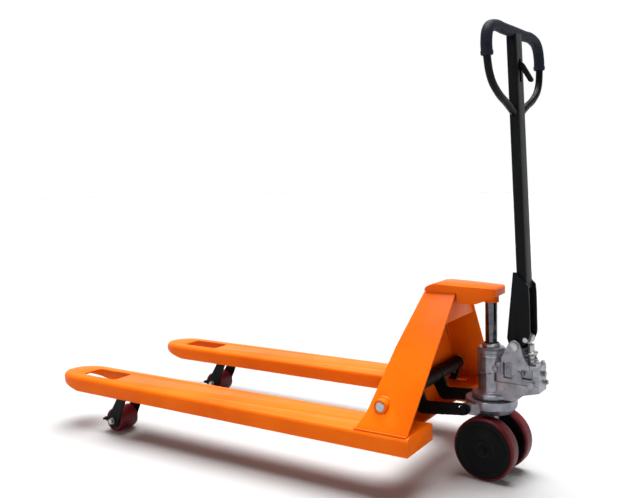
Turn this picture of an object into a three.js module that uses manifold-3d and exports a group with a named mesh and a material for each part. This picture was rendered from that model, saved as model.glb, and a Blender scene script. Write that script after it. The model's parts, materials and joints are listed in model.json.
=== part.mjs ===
// Hand pallet truck: a pair of welded forks raised by a hand-pumped hydraulic ram.
// Millimetres, +Z up. The forks point to -X, the operator stands at +X, the left side is -Y.
// The truck stands raised on z = 0. Lengths along X are given from the forks' heel, and the
// last lines move the whole truck so that the origin is under the middle of its box.
import * as THREE from 'three';
import * as BufferGeometryUtils from 'three/addons/utils/BufferGeometryUtils.js';
import Module from 'manifold-3d';

const wasm = await Module();
wasm.setup();

const { degToRad } = THREE.MathUtils;

// ---------- driving dimensions ----------
const GAP = 0.3;                  // clearance kept between touching pieces
const FAR = 900;                  // further out than any piece that a cutting block passes

const OVERALL_WIDTH = 685;        // over both forks
const FORK_WIDTH = 160;
const FORK_LENGTH = 1398;         // heel to tip
const FORK_TOP = 185;             // top face above the floor, raised
const FORK_DEPTH = 50;
const FORK_SHEET = 5;
const FORK_EDGE_RADIUS = 12;
const FORK_Y = (OVERALL_WIDTH - FORK_WIDTH) / 2;
const FORK_BOTTOM = FORK_TOP - FORK_DEPTH;
const TIP_LENGTH = 105;           // rounded nose of a fork

const STEER_X = 104;              // ram and steering axis
const STEER_TURN = degToRad(-3.5);
const WHEEL_TRAIL = 5;            // axle behind the steering axis
const WHEEL_RADIUS = 90;
const WHEEL_WIDTH = 50;
const WHEEL_Y = 54;               // middle plane of a steering wheel
const HUB_RADIUS = 74;
const AXLE_RADIUS = 10;
const BEARING_RADIUS = 20;

const ROLLER_RADIUS = 40;
const ROLLER_WIDTH = 74;
const ROLLER_X = -1140;           // load roller axle, raised
const CHEEK = 6;                  // roller bracket plate thickness
const BRACKET_PIVOT_X = -1079.5;
const BRACKET_PIVOT_Z = 150;
const BRACKET_PIN_REACH = 22;     // bracket pivot to push rod pin
const BRACKET_SWING = degToRad(56.6);
const ROD_PIN_RADIUS = 5;         // at both ends of a push rod

const ROCKER_X = -101;            // rocker shaft
const ROCKER_Z = 244;
const ROCKER_EAR_REACH = 33.2;    // rocker shaft to push rod pin
const ROCKER_SWING = degToRad(36.6);
const ROCKER_EAR_Y = 251;
const ROCKER_EAR_HALF = 6;        // half the thickness of a rocker ear
const SHAFT_RADIUS = 14;
const SHAFT_END = 297;
const TUBE_RADIUS = 21;           // rocker tube, and the side plates' holes round the shaft
const BOSS_RADIUS = 20;
const BOSS_INNER = 270;
const BOSS_OUTER = 300;
const THRUST_PIN_X = 50;
const THRUST_PIN_Z = 200;
const THRUST_PIN_RADIUS = 8;
const ARM_Y = 80;                 // middle plane of a rocker arm
const ARM_THICKNESS = 12;

const SIDE_PLATE = 6;             // thickness
const SIDE_SLOPE = 0.817;         // the side plates lean in by this much per unit of height
const SIDE_FOOT_Y = 334.4;        // their outer face at fork top height
const SIDE_TOP = 526;
const HEAD_SHEET = 4;
const HEAD_SKIRT = 498;           // lowest edge of the head cover
const SOCKET_TOP = 537;
const SOCKET_FOOT = 499.5;
const SOCKET_RADIUS = 22;
const APRON_FOOT = 445;

const RAM_RADIUS = 17;
const RAM_TOP = 512;
const RAM_FOOT = 250;
const PLATE_BOTTOM = 184;         // thrust plate
const PLATE_TOP = 224;
const PLATE_RADIUS = 74;
const RACE_INNER = 26;
const RACE_OUTER = 48;
const RACE_THICKNESS = 3;
const THRUST_ROLLER_RADIUS = 2.8;
const THRUST_ROLLER_LENGTH = 14;
const THRUST_ROLLER_COUNT = 8;
const RACE_SEAT = 218;
const RACE_WALL = RACE_OUTER + 1.5;             // wall of the races' seats
const PLATE_BORE = 23;

const CYLINDER_RADIUS = 40;
const CYLINDER_TOP = 351;
const CYLINDER_CAP_TOP = 371;
const GLAND_SEAT = 376;           // step in the gland nut, under the dust seal
const BLOCK_HALF_WIDTH = 35;      // pump block
const BLOCK_TOP = 335;
const LUG_INNER = 33;             // handle lugs
const LUG_OUTER = 41;
const PIVOT_X = 83;               // handle pivot, behind the steering axis
const PIVOT_Z = 387;
const PIVOT_RADIUS = 9;
const PLUNGER_X = 117;
const WELL_FLOOR = 304;           // spring seat in the pump block
const WELL_RADIUS = 19.6;
const CAP_TOP = 370;              // spring cap
const CAP_THICKNESS = 6;
const TAPPET_TOP = 392;           // stud on the cap, which the handle's roller presses
const CAP_RADIUS = 19;
const PLUNGER_RADIUS = 9;
const HANDLE_ROLLER_X = 111;
const HANDLE_ROLLER_RADIUS = 14;
const HANDLE_ROLLER_PIN = 5;      // radius
const VALVE_X = 62;               // valve shaft
const VALVE_Z = 312;
const VALVE_RADIUS = 6;

const COLUMN_X = 95.7;            // handle column axis, behind the steering axis, at COLUMN_Z
const COLUMN_Z = 607;
const COLUMN_LEAN = degToRad(-2.54);
const COLUMN_DEPTH = 28;
const COLUMN_WIDTH = 50;
const COLUMN_WALL = 3;
const COLUMN_FOOT = -60;          // heights along the column, from COLUMN_Z
const BAR_HEIGHT = 640;           // middle of the handle's top bar
const GRIP_END = 562;
const LOOP_RADIUS = 10;
const GRIP_RADIUS = 15;
const LEVER_HEIGHT = 553;         // release lever pivot
const LEVER_X = 4;
const LEVER_PIN_RADIUS = 3;
const ROD_RADIUS = 3;
const ROD_FOOT = -178;
const ROD_X = -7;

// ---------- finishes ----------
const finish = (color, roughness, metalness) => ({ color, roughness, metalness });
const ORANGE = finish('#f47a1c', 0.4, 0.0);
const BLACK = finish('#15171a', 0.45, 0.2);
const CASTING = finish('#8a8b97', 0.5, 0.6);
const STEEL = finish('#b8bcc2', 0.3, 1.0);
const CHROME = finish('#5f6468', 0.15, 1.0);
const BLACK_IRON = finish('#101214', 0.55, 0.3);
const RED_TYRE = finish('#7d1420', 0.45, 0.0);
const RUBBER = finish('#20242e', 0.7, 0.0);

// ---------- solids ----------
function closedMesh(geometry) {
  const bare = geometry.index ? geometry.toNonIndexed() : geometry.clone();
  bare.deleteAttribute('normal');
  bare.deleteAttribute('uv');
  const merged = BufferGeometryUtils.mergeVertices(bare, 1e-4);
  const index = merged.index.array;
  const triangles = [];
  for (let i = 0; i < index.length; i += 3) {
    const [a, b, c] = index.slice(i, i + 3);
    if (a !== b && b !== c && c !== a) triangles.push(a, b, c);
  }
  return { points: new Float32Array(merged.attributes.position.array), triangles };
}

function signedVolume({ points, triangles }) {
  const corner = (i) => new THREE.Vector3().fromArray(points, 3 * triangles[i]);
  let sum = 0;
  for (let i = 0; i < triangles.length; i += 3) {
    sum += corner(i).dot(corner(i + 1).cross(corner(i + 2)));
  }
  return sum / 6;
}

// A solid for joining and cutting, with its faces pointing out.
function solid(geometry) {
  const mesh = closedMesh(geometry);
  if (signedVolume(mesh) < 0) mesh.triangles.reverse();
  return new wasm.Manifold(new wasm.Mesh({
    numProp: 3,
    vertProperties: mesh.points,
    triVerts: new Uint32Array(mesh.triangles),
  }));
}

function join(...pieces) {
  return pieces.reduce((whole, piece) => whole.add(piece));
}

function cut(body, ...tools) {
  return tools.reduce((left, tool) => left.subtract(tool), body);
}

function part(name, body, look) {
  const mesh = body.getMesh();
  const geometry = new THREE.BufferGeometry();
  geometry.setAttribute('position', new THREE.BufferAttribute(mesh.vertProperties, 3));
  geometry.setIndex(new THREE.BufferAttribute(mesh.triVerts, 1));
  geometry.computeVertexNormals();
  const piece = new THREE.Mesh(geometry, new THREE.MeshStandardMaterial(look));
  piece.name = name;
  return piece;
}

function assembly(pieces, x = 0, y = 0, z = 0) {
  const holder = new THREE.Group();
  holder.position.set(x, y, z);
  holder.add(...pieces);
  return holder;
}

function block(x0, y0, z0, x1, y1, z1) {
  const geometry = new THREE.BoxGeometry(x1 - x0, y1 - y0, z1 - z0);
  geometry.translate((x0 + x1) / 2, (y0 + y1) / 2, (z0 + z1) / 2);
  return solid(geometry);
}

// Cylinder along Z at (x, y).
function upright(radius, z0, z1, x = 0, y = 0, sides = 16) {
  const geometry = new THREE.CylinderGeometry(radius, radius, z1 - z0, sides);
  geometry.rotateX(Math.PI / 2);
  geometry.translate(x, y, (z0 + z1) / 2);
  return solid(geometry);
}

// Cylinder along Y at (x, z).
function crosswise(radius, y0, y1, x = 0, z = 0, sides = 14) {
  const geometry = new THREE.CylinderGeometry(radius, radius, y1 - y0, sides);
  geometry.translate(x, (y0 + y1) / 2, z);
  return solid(geometry);
}

// Turned ring or disc: [radius, distance along the axis] points, about Y or Z.
function turned(profile, axis, sides = 18) {
  const points = profile.map(([radius, along]) => new THREE.Vector2(radius, along));
  const reachesAxis = profile[0][0] === 0;
  if (!reachesAxis) points.push(points[0].clone());
  const geometry = new THREE.LatheGeometry(points, sides);
  if (axis === 'z') geometry.rotateX(Math.PI / 2);
  return solid(geometry);
}

function ring(inner, outer, low, high, axis, sides = 18) {
  return turned([[inner, low], [outer, low], [outer, high], [inner, high]], axis, sides);
}

function polygon(points) {
  return new THREE.Shape(points.map(([x, y]) => new THREE.Vector2(x, y)));
}

function extruded(shape, depth, curveSegments) {
  return new THREE.ExtrudeGeometry(shape, { depth, bevelEnabled: false, curveSegments });
}

// Plan outline (x, y), from z0 up to z1.
function raised(shape, z0, z1, curveSegments = 2) {
  return solid(extruded(shape, z1 - z0, curveSegments).translate(0, 0, z0));
}

// Side view outline (x, z), from y0 to y1.
function sideways(shape, y0, y1, curveSegments = 3) {
  return solid(extruded(shape, y1 - y0, curveSegments).rotateX(Math.PI / 2).translate(0, y1, 0));
}

// End view outline (y, z), from x0 to x1.
function lengthways(shape, x0, x1, curveSegments = 3) {
  const geometry = extruded(shape, x1 - x0, curveSegments);
  return solid(geometry.rotateX(Math.PI / 2).rotateZ(Math.PI / 2).translate(x0, 0, 0));
}

// Outline of a link: two circles and their outer tangents, the larger circle first.
function link(x0, z0, r0, x1, z1, r1) {
  const length = Math.hypot(x1 - x0, z1 - z0);
  const heading = Math.atan2(z1 - z0, x1 - x0);
  const spread = Math.acos((r0 - r1) / length);
  const shape = new THREE.Shape();
  shape.absarc(x0, z0, r0, heading + spread, heading - spread + 2 * Math.PI, false);
  shape.absarc(x1, z1, r1, heading - spread, heading + spread, false);
  return shape;
}

function roundedBox(x0, y0, x1, y1, radius) {
  const shape = new THREE.Shape();
  shape.moveTo(x0 + radius, y0);
  shape.absarc(x1 - radius, y0 + radius, radius, -Math.PI / 2, 0, false);
  shape.absarc(x1 - radius, y1 - radius, radius, 0, Math.PI / 2, false);
  shape.absarc(x0 + radius, y1 - radius, radius, Math.PI / 2, Math.PI, false);
  shape.absarc(x0 + radius, y0 + radius, radius, Math.PI, 1.5 * Math.PI, false);
  return shape;
}

function mirrored(body) {
  return body.mirror([0, 1, 0]);
}

function bothWays(body) {
  return body.add(mirrored(body));
}

const SIDES = [['left', -1], ['right', 1]];

// ---------- forks ----------
function forkPlan(inset) {
  const half = FORK_WIDTH / 2 - inset;
  const noseX = TIP_LENGTH - FORK_LENGTH;
  const shape = new THREE.Shape();
  shape.moveTo(FORK_DEPTH, -half);
  shape.lineTo(FORK_DEPTH, half);
  shape.lineTo(noseX, half);
  shape.absellipse(noseX, 0, TIP_LENGTH - inset, half, Math.PI / 2, 1.5 * Math.PI, false);
  return shape;
}

// Fork form with rounded upper edges, made smaller all round by the inset, open past the heel.
function forkForm(inset) {
  const radius = FORK_EDGE_RADIUS - inset;
  const geometry = new THREE.ExtrudeGeometry(forkPlan(FORK_EDGE_RADIUS), {
    depth: FORK_DEPTH,
    bevelThickness: radius,
    bevelSize: radius,
    bevelSegments: 3,
    curveSegments: 7,
  });
  return solid(geometry.translate(0, 0, FORK_TOP - FORK_EDGE_RADIUS - FORK_DEPTH));
}

// Everything below the fork's lower edge, which rises towards the tip.
function belowFork() {
  const noseRise = 30;
  return sideways(polygon([
    [FAR, FORK_BOTTOM], [-1275, FORK_BOTTOM], [-FORK_LENGTH, FORK_BOTTOM + noseRise],
    [-2 * FAR, FORK_BOTTOM + noseRise], [-2 * FAR, -FAR], [FAR, -FAR],
  ]), -FAR, FAR);
}

function fork(side, sign) {
  const hollow = forkForm(FORK_SHEET).subtract(block(-FORK_SHEET, -FAR, 0, FAR, FAR, FAR));
  const rollerOpening = raised(roundedBox(-1288, -40, -1125, 40, 14), 0, FAR);
  const rodOpening = raised(roundedBox(-136, -12, -72, 12, 8), 0, FAR);
  const behindHeel = block(0, -FAR, 0, FAR, FAR, FAR);
  const body = cut(forkForm(0), hollow, belowFork(), behindHeel, rollerOpening, rodOpening);
  return assembly([part(`fork_${side}`, body, ORANGE)], 0, sign * FORK_Y, 0);
}

// ---------- fork frame ----------
const SIDE_ANGLE = Math.atan(SIDE_SLOPE);       // from the vertical

function sideY(z) {
  return SIDE_FOOT_Y - SIDE_SLOPE * (z - FORK_TOP);
}

// Flat outline of a side plate in x and height.
function sidePlateOutline() {
  return [
    [-168, FORK_TOP - 8], [-153, 200], [-141, 226], [-128, 300], [-114, 384], [-78, SIDE_TOP],
    [18.5, SIDE_TOP], [-6, FORK_TOP - 8],
  ];
}

function sidePlate(side, sign) {
  const along = (z) => (z - FORK_TOP) / Math.cos(SIDE_ANGLE);
  const flat = polygon(sidePlateOutline().map(([x, z]) => [x, along(z)]));
  const geometry = extruded(flat, SIDE_PLATE, 12).translate(0, 0, -SIDE_PLATE);
  geometry.rotateX(Math.PI / 2 - SIDE_ANGLE).translate(0, -SIDE_FOOT_Y, FORK_TOP);
  const bossHole = crosswise(TUBE_RADIUS, -FAR, FAR, ROCKER_X, ROCKER_Z);
  const body = cut(
    solid(geometry),
    block(-FAR, -FAR, 0, FAR, FAR, FORK_TOP + GAP),
    block(-FAR, -FAR, SIDE_TOP, FAR, FAR, FAR),
    bossHole,
  );
  return part(`side_plate_${side}`, sign < 0 ? body : mirrored(body), ORANGE);
}

// The room between the two side plates, above the forks.
function betweenSidePlates() {
  const inset = SIDE_PLATE / Math.cos(SIDE_ANGLE) + GAP;
  const low = FORK_TOP + GAP;
  const halfLow = sideY(low) - inset;
  const halfHigh = sideY(SIDE_TOP) - inset;
  return lengthways(polygon([
    [-halfLow, low], [halfLow, low], [halfHigh, SIDE_TOP], [-halfHigh, SIDE_TOP],
  ]), -FAR, FAR);
}

function betweenForks() {
  const half = FORK_Y - FORK_WIDTH / 2 - GAP;
  return block(-FAR, -half, 0, FAR, half, FORK_TOP + 2 * GAP);
}

function bulkhead() {
  const sheet = sideways(polygon([
    [-143, FORK_BOTTOM], [-143, 192], [-131, 241], [-109, 382], [-73, SIDE_TOP],
    [-68, SIDE_TOP], [-104, 380], [-126, 240], [-138, 190], [-138, FORK_BOTTOM + 5],
    [-78, FORK_BOTTOM + 5], [-78, FORK_BOTTOM],
  ]), -FAR, FAR);
  const body = sheet.intersect(join(betweenSidePlates(), betweenForks()));
  return part('front_bulkhead', body, ORANGE);
}

function apron() {
  const outline = [[3, APRON_FOOT], [8, APRON_FOOT], [13, SIDE_TOP], [8, SIDE_TOP]];
  const sheet = sideways(polygon(outline), -FAR, FAR);
  return part('rear_apron', sheet.intersect(betweenSidePlates()), ORANGE);
}

// Pressed cover over the frame's top, shrunk by the inset for its hollow.
function headForm(inset) {
  const seat = SIDE_TOP + GAP;
  const profile = new THREE.Shape();
  profile.moveTo(-80 + inset, seat - 2 * inset);
  profile.lineTo(22 + inset, seat - 2 * inset);
  profile.lineTo(24 + inset, HEAD_SKIRT - 2 * inset);
  profile.lineTo(78, HEAD_SKIRT - 2 * inset);
  profile.lineTo(131 - inset, 520 - 2 * inset);
  profile.lineTo(131 - inset, 540 - inset);
  profile.lineTo(127 - inset, 544 - inset);
  profile.lineTo(-40, 550 - inset);
  profile.quadraticCurveTo(-68 + inset, 549 - inset, -80 + inset, 532 - inset);
  const front = 60 - inset;
  const rear = 50 - inset;
  const plan = polygon([
    [-80 + inset, -front + 8], [-72 + inset, -front], [20, -front], [123 - inset, -rear],
    [131 - inset, -rear + 8], [131 - inset, rear - 8], [123 - inset, rear], [20, front],
    [-72 + inset, front], [-80 + inset, front - 8],
  ]);
  return sideways(profile, -FAR, FAR).intersect(raised(plan, 0, FAR));
}

function head() {
  return part('head_cover', headForm(0).subtract(headForm(HEAD_SHEET)), ORANGE);
}

// Cup welded under the head, which the ram pushes up.
function ramSocket() {
  const bore = RAM_RADIUS + GAP;
  const body = turned([
    [0, RAM_TOP + GAP], [bore, RAM_TOP + GAP], [bore, SOCKET_FOOT],
    [SOCKET_RADIUS, SOCKET_FOOT], [SOCKET_RADIUS, SOCKET_TOP], [0, SOCKET_TOP],
  ], 'z');
  return assembly([part('ram_socket', body, ORANGE)], STEER_X);
}

function pistonRod() {
  const body = turned([
    [0, RAM_FOOT], [15, RAM_FOOT], [RAM_RADIUS, RAM_FOOT + 3], [RAM_RADIUS, RAM_TOP - 2],
    [15, RAM_TOP], [0, RAM_TOP],
  ], 'z', 20);
  return assembly([part('piston_rod', body, CHROME)], STEER_X);
}

function rockerBoss(side, sign) {
  const tube = ring(SHAFT_RADIUS + GAP, BOSS_RADIUS, BOSS_INNER, BOSS_OUTER, 'y');
  const body = sign < 0 ? mirrored(tube) : tube;
  return assembly([part(`rocker_boss_${side}`, body, ORANGE)], ROCKER_X, 0, ROCKER_Z);
}

// ---------- lifting linkage ----------
function rockerPinOffset() {
  const angle = -Math.PI / 2 - ROCKER_SWING / 2;
  return [ROCKER_EAR_REACH * Math.cos(angle), ROCKER_EAR_REACH * Math.sin(angle)];
}

function thrustPinSlot() {
  const x = THRUST_PIN_X - ROCKER_X;
  const z = THRUST_PIN_Z - ROCKER_Z;
  const length = Math.hypot(x, z);
  const play = 1;
  const [near, away] = [x - 0.5, Math.hypot(x, z + 100) + 0.5].map((reach) => reach / length);
  const radius = THRUST_PIN_RADIUS + play;
  return link(x * near, z * near, radius, x * away, z * away, radius - 0.01);
}

function rocker() {
  const [pinX, pinZ] = rockerPinOffset();
  const elbow = [26, -56];
  const end = [THRUST_PIN_X - ROCKER_X + 2, THRUST_PIN_Z - ROCKER_Z];
  const y0 = ARM_Y - ARM_THICKNESS / 2;
  const y1 = y0 + ARM_THICKNESS;
  const arm = join(
    sideways(link(0, 0, 22.5, ...elbow, 19), y0, y1),
    sideways(link(...elbow, 19, ...end, 17), y0, y1),
  );
  const earInner = ROCKER_EAR_Y - ROCKER_EAR_HALF;
  const earOuter = ROCKER_EAR_Y + ROCKER_EAR_HALF;
  const ear = sideways(link(0, 0, 20.5, pinX, pinZ, 10), earInner, earOuter);
  const tube = crosswise(TUBE_RADIUS, 0, earOuter);
  const half = cut(
    join(tube, arm, ear),
    crosswise(SHAFT_RADIUS + GAP, -FAR, FAR),
    crosswise(ROD_PIN_RADIUS + GAP, earInner - 4, FAR, pinX, pinZ, 12),
    sideways(thrustPinSlot(), y0 - 5, y1 + 5),
  );
  const shaft = crosswise(SHAFT_RADIUS, -SHAFT_END, SHAFT_END);
  const rodPin = crosswise(ROD_PIN_RADIUS, 243, 270, pinX, pinZ, 12);
  return assembly([
    part('rocker_arm', bothWays(half), BLACK_IRON),
    part('rocker_shaft', shaft, STEEL),
    part('rocker_rod_pin_left', mirrored(rodPin), STEEL),
    part('rocker_rod_pin_right', rodPin, STEEL),
  ], ROCKER_X, 0, ROCKER_Z);
}

function bracketPinOffset() {
  const angle = Math.PI / 2 + BRACKET_SWING / 2;
  return [BRACKET_PIN_REACH * Math.cos(angle), BRACKET_PIN_REACH * Math.sin(angle)];
}

const PIN_SLOT_RADIUS = ROD_PIN_RADIUS + 0.5;
const PIN_SLOT_ENDS = 0.6;        // play at the end of a pin's slot

// Flat bar inside the fork, cranked up through the fork top to the rocker. Its eyes are upright
// slots, because the bar slides level while both pins swing.
function pushRod(side, sign) {
  const [frontX, frontZ] = bracketPinOffset();
  const [rearX, rearZ] = rockerPinOffset();
  const front = [BRACKET_PIVOT_X + frontX, BRACKET_PIVOT_Z + frontZ];
  const rear = [ROCKER_X + rearX, ROCKER_Z + rearZ];
  const frontRise = BRACKET_PIN_REACH - frontZ + PIN_SLOT_ENDS;
  const rearDrop = ROCKER_EAR_REACH + rearZ + PIN_SLOT_ENDS;
  const slot = ([x, z], length) => sideways(
    link(x, z, PIN_SLOT_RADIUS, x, z + length, PIN_SLOT_RADIUS - 0.01), -FAR, FAR,
  );
  const bar = join(
    sideways(link(front[0], front[1], 8.5, front[0] + 60, front[1] - 1, 7), -5, 5),
    sideways(link(front[0] + 62, 161, 13, -130, 161, 12.9), -5, 5),
    sideways(link(-128, 163, 12, rear[0], rear[1], 11), -5, 5),
  );
  const body = cut(bar, slot(front, frontRise), slot(rear, -rearDrop));
  return assembly([part(`push_rod_${side}`, body, BLACK_IRON)], 0, sign * FORK_Y, 0);
}

// ---------- load rollers ----------
const AXLE_DX = ROLLER_X - BRACKET_PIVOT_X;
const AXLE_DZ = ROLLER_RADIUS - BRACKET_PIVOT_Z;
const ROLLER_AXLE = 8;            // radius
const ROLLER_BORE = 15;
const ROLLER_CHAMFER = 3;

function bracketBody() {
  const [pinX, pinZ] = bracketPinOffset();
  const inner = ROLLER_WIDTH / 2 + 1;
  const outer = inner + CHEEK;
  const stopX = AXLE_DX - 38;
  const stopZ = AXLE_DZ + 3;
  const cheek = join(
    sideways(link(AXLE_DX, AXLE_DZ, 25, 0, 0, 16), inner, outer),
    sideways(link(0, 0, 11, pinX, pinZ, 7.5), inner, outer),
    sideways(link(AXLE_DX, AXLE_DZ, 13, stopX, stopZ, 6), inner, outer),
    crosswise(4.5, inner, outer + 8, stopX, stopZ, 10),
  );
  return cut(
    bothWays(join(cheek, crosswise(10.8, 0, inner))),
    crosswise(ROLLER_AXLE + GAP, -FAR, FAR),
    crosswise(ROLLER_AXLE + GAP, -FAR, FAR, AXLE_DX, AXLE_DZ),
    crosswise(ROD_PIN_RADIUS + GAP, -FAR, FAR, pinX, pinZ, 12),
  );
}

function loadRoller() {
  const half = ROLLER_WIDTH / 2;
  return turned([
    [ROLLER_BORE, -half], [ROLLER_RADIUS - ROLLER_CHAMFER, -half],
    [ROLLER_RADIUS, ROLLER_CHAMFER - half], [ROLLER_RADIUS, half - ROLLER_CHAMFER],
    [ROLLER_RADIUS - ROLLER_CHAMFER, half], [ROLLER_BORE, half],
  ], 'y', 20);
}

function frontAxle() {
  const cheekOuter = ROLLER_WIDTH / 2 + 1 + CHEEK;
  const bolt = crosswise(ROLLER_AXLE, 0, cheekOuter + 2);
  const headDisc = crosswise(12, cheekOuter + GAP, cheekOuter + 5, 0, 0, 6);
  return bothWays(join(bolt, headDisc));
}

function loadWheel(side, sign) {
  const [pinX, pinZ] = bracketPinOffset();
  const half = ROLLER_WIDTH / 2;
  const flange = FORK_WIDTH / 2 - FORK_SHEET;
  const bush = ring(ROLLER_AXLE + GAP, ROLLER_BORE - GAP, -half, half, 'y', 24);
  const rolling = assembly([
    part(`load_roller_${side}`, loadRoller(), RED_TYRE),
    part(`roller_bush_${side}`, bush, STEEL),
    part(`roller_axle_${side}`, frontAxle(), STEEL),
  ], AXLE_DX, 0, AXLE_DZ);
  return assembly([
    part(`wheel_bracket_${side}`, bracketBody(), BLACK_IRON),
    part(`bracket_pivot_pin_${side}`, crosswise(ROLLER_AXLE, -flange + GAP, flange - GAP), STEEL),
    part(`bracket_rod_pin_${side}`, crosswise(ROD_PIN_RADIUS, -48, 48, pinX, pinZ, 12), STEEL),
    rolling,
  ], BRACKET_PIVOT_X, sign * FORK_Y, BRACKET_PIVOT_Z);
}

// ---------- thrust plate and its bearing ----------
function thrustPlate() {
  const bowl = turned([
    [PLATE_BORE, PLATE_BOTTOM], [60, PLATE_BOTTOM], [PLATE_RADIUS, PLATE_BOTTOM + 18],
    [PLATE_RADIUS, PLATE_TOP], [RACE_WALL, PLATE_TOP], [RACE_WALL, RACE_SEAT],
    [PLATE_BORE, RACE_SEAT],
  ], 'z', 20);
  const pinX = THRUST_PIN_X - STEER_X;
  const lug = join(
    sideways(link(pinX, THRUST_PIN_Z, 15, -22, THRUST_PIN_Z + 1, 14.9), 58, 72.5),
    block(pinX + 4, 30, PLATE_BOTTOM, -20, 72.5, PLATE_TOP - 12),
  );
  const clear = upright(RACE_WALL, RACE_SEAT, FAR);
  const pinHole = crosswise(THRUST_PIN_RADIUS + GAP, -FAR, FAR, pinX, THRUST_PIN_Z);
  const centre = upright(PLATE_BORE, 0, FAR);
  return cut(join(bowl, bothWays(lug)), clear, pinHole, centre);
}

function base() {
  const pinX = THRUST_PIN_X - STEER_X;
  const pin = join(
    crosswise(THRUST_PIN_RADIUS, -90, 90, pinX, THRUST_PIN_Z),
    bothWays(crosswise(11.5, 87, 91, pinX, THRUST_PIN_Z)),
  );
  const low = RACE_SEAT + GAP;
  return assembly([
    part('thrust_plate', thrustPlate(), CASTING),
    part('thrust_pin', pin, BLACK_IRON),
    part('lower_race', ring(RACE_INNER, RACE_OUTER, low, low + RACE_THICKNESS, 'z'), STEEL),
  ], STEER_X);
}

// ---------- hydraulic pump, which steers with the handle ----------
const ROLLERS_Z = RACE_SEAT + 2 * GAP + RACE_THICKNESS + THRUST_ROLLER_RADIUS;
const UPPER_RACE_Z = ROLLERS_Z + THRUST_ROLLER_RADIUS + GAP;
const FLANGE_BOTTOM = PLATE_TOP + 3;

function thrustRollers() {
  const cage = ring(RACE_INNER + 1, RACE_OUTER - 1, ROLLERS_Z - 1, ROLLERS_Z + 1, 'z');
  const pitch = (2 * Math.PI) / THRUST_ROLLER_COUNT;
  let body = cage;
  for (let i = 0; i < THRUST_ROLLER_COUNT; i += 1) {
    const geometry = new THREE.CylinderGeometry(
      THRUST_ROLLER_RADIUS, THRUST_ROLLER_RADIUS, THRUST_ROLLER_LENGTH, 6,
    );
    geometry.rotateZ(Math.PI / 2).translate((RACE_INNER + RACE_OUTER) / 2, 0, ROLLERS_Z);
    body = body.add(solid(geometry.rotateZ(i * pitch)));
  }
  return body;
}

function handleLugs() {
  const shape = new THREE.Shape();
  shape.moveTo(44, BLOCK_TOP - 30);
  shape.lineTo(44, CYLINDER_TOP);
  shape.absarc(PIVOT_X, PIVOT_Z, 17.5, 0.85 * Math.PI, 0.1 * Math.PI, true);
  shape.quadraticCurveTo(107, 350, 126, BLOCK_TOP);
  shape.lineTo(126, BLOCK_TOP - 30);
  return bothWays(sideways(shape, LUG_INNER, LUG_OUTER));
}

function pumpBlock() {
  const underside = polygon([
    [20, FLANGE_BOTTOM], [78, FLANGE_BOTTOM], [105, 249], [150, 261], [150, 296],
    [20, 296],
  ]);
  const rounded = raised(roundedBox(20, -BLOCK_HALF_WIDTH, 150, BLOCK_HALF_WIDTH, 10), 280, BLOCK_TOP);
  const web = sideways(underside, -30, 30);
  const pocket = (x0, x1, z0, z1) => bothWays(block(x0, 25, z0, x1, FAR, z1));
  return cut(
    join(rounded, web, handleLugs()),
    pocket(50, 74, 294, 340),
    pocket(103, 132, 298, 324),
  );
}

function pumpCasting() {
  const stem = join(
    upright(22, 66, FLANGE_BOTTOM + 10),
    crosswise(24, -31, 31, WHEEL_TRAIL, WHEEL_RADIUS),
  );
  const barrel = turned([
    [0, FLANGE_BOTTOM], [56, FLANGE_BOTTOM], [56, 238], [53, 241], [42, 242], [37.5, 247],
    [37.5, 299], [CYLINDER_RADIUS, 302], [CYLINDER_RADIUS, CYLINDER_TOP], [0, CYLINDER_TOP],
  ], 'z', 20);
  const oilRoom = ring(24, 33, 250, CYLINDER_TOP + 1, 'z', 12);
  const raceSeat = upright(RACE_WALL, 0, UPPER_RACE_Z + RACE_THICKNESS + GAP);
  const open = cut(join(barrel, pumpBlock()), raceSeat, oilRoom);
  return cut(
    join(open, stem),
    upright(RAM_RADIUS + GAP, RAM_FOOT - 103, FAR, 0, 0, 20),
    crosswise(AXLE_RADIUS + GAP, -FAR, FAR, WHEEL_TRAIL, WHEEL_RADIUS, 20),
    crosswise(PIVOT_RADIUS + GAP, -FAR, FAR, PIVOT_X, PIVOT_Z),
    upright(WELL_RADIUS, WELL_FLOOR, FAR, PLUNGER_X),
    upright(PLUNGER_RADIUS + GAP, 253, FAR, PLUNGER_X, 0, 24),
    crosswise(VALVE_RADIUS + GAP, 15, FAR, VALVE_X, VALVE_Z, 12),
  );
}

function ramGland() {
  const capLow = CYLINDER_TOP + GAP;
  const glandLow = CYLINDER_CAP_TOP + GAP;
  const bore = RAM_RADIUS + GAP;
  return [
    part('cylinder_cap', turned([
      [bore, capLow], [40.5, capLow], [40.5, CYLINDER_CAP_TOP - 3],
      [37.5, CYLINDER_CAP_TOP], [bore, CYLINDER_CAP_TOP],
    ], 'z', 20), CASTING),
    part('gland_nut', turned([
      [bore, glandLow], [25.5, glandLow], [25.5, 379], [23.5, 382], [21.5, 382],
      [21.5, GLAND_SEAT], [bore, GLAND_SEAT],
    ], 'z'), STEEL),
    part('dust_seal', ring(bore, 21.2, GLAND_SEAT + GAP, 384, 'z'), RUBBER),
  ];
}

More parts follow.
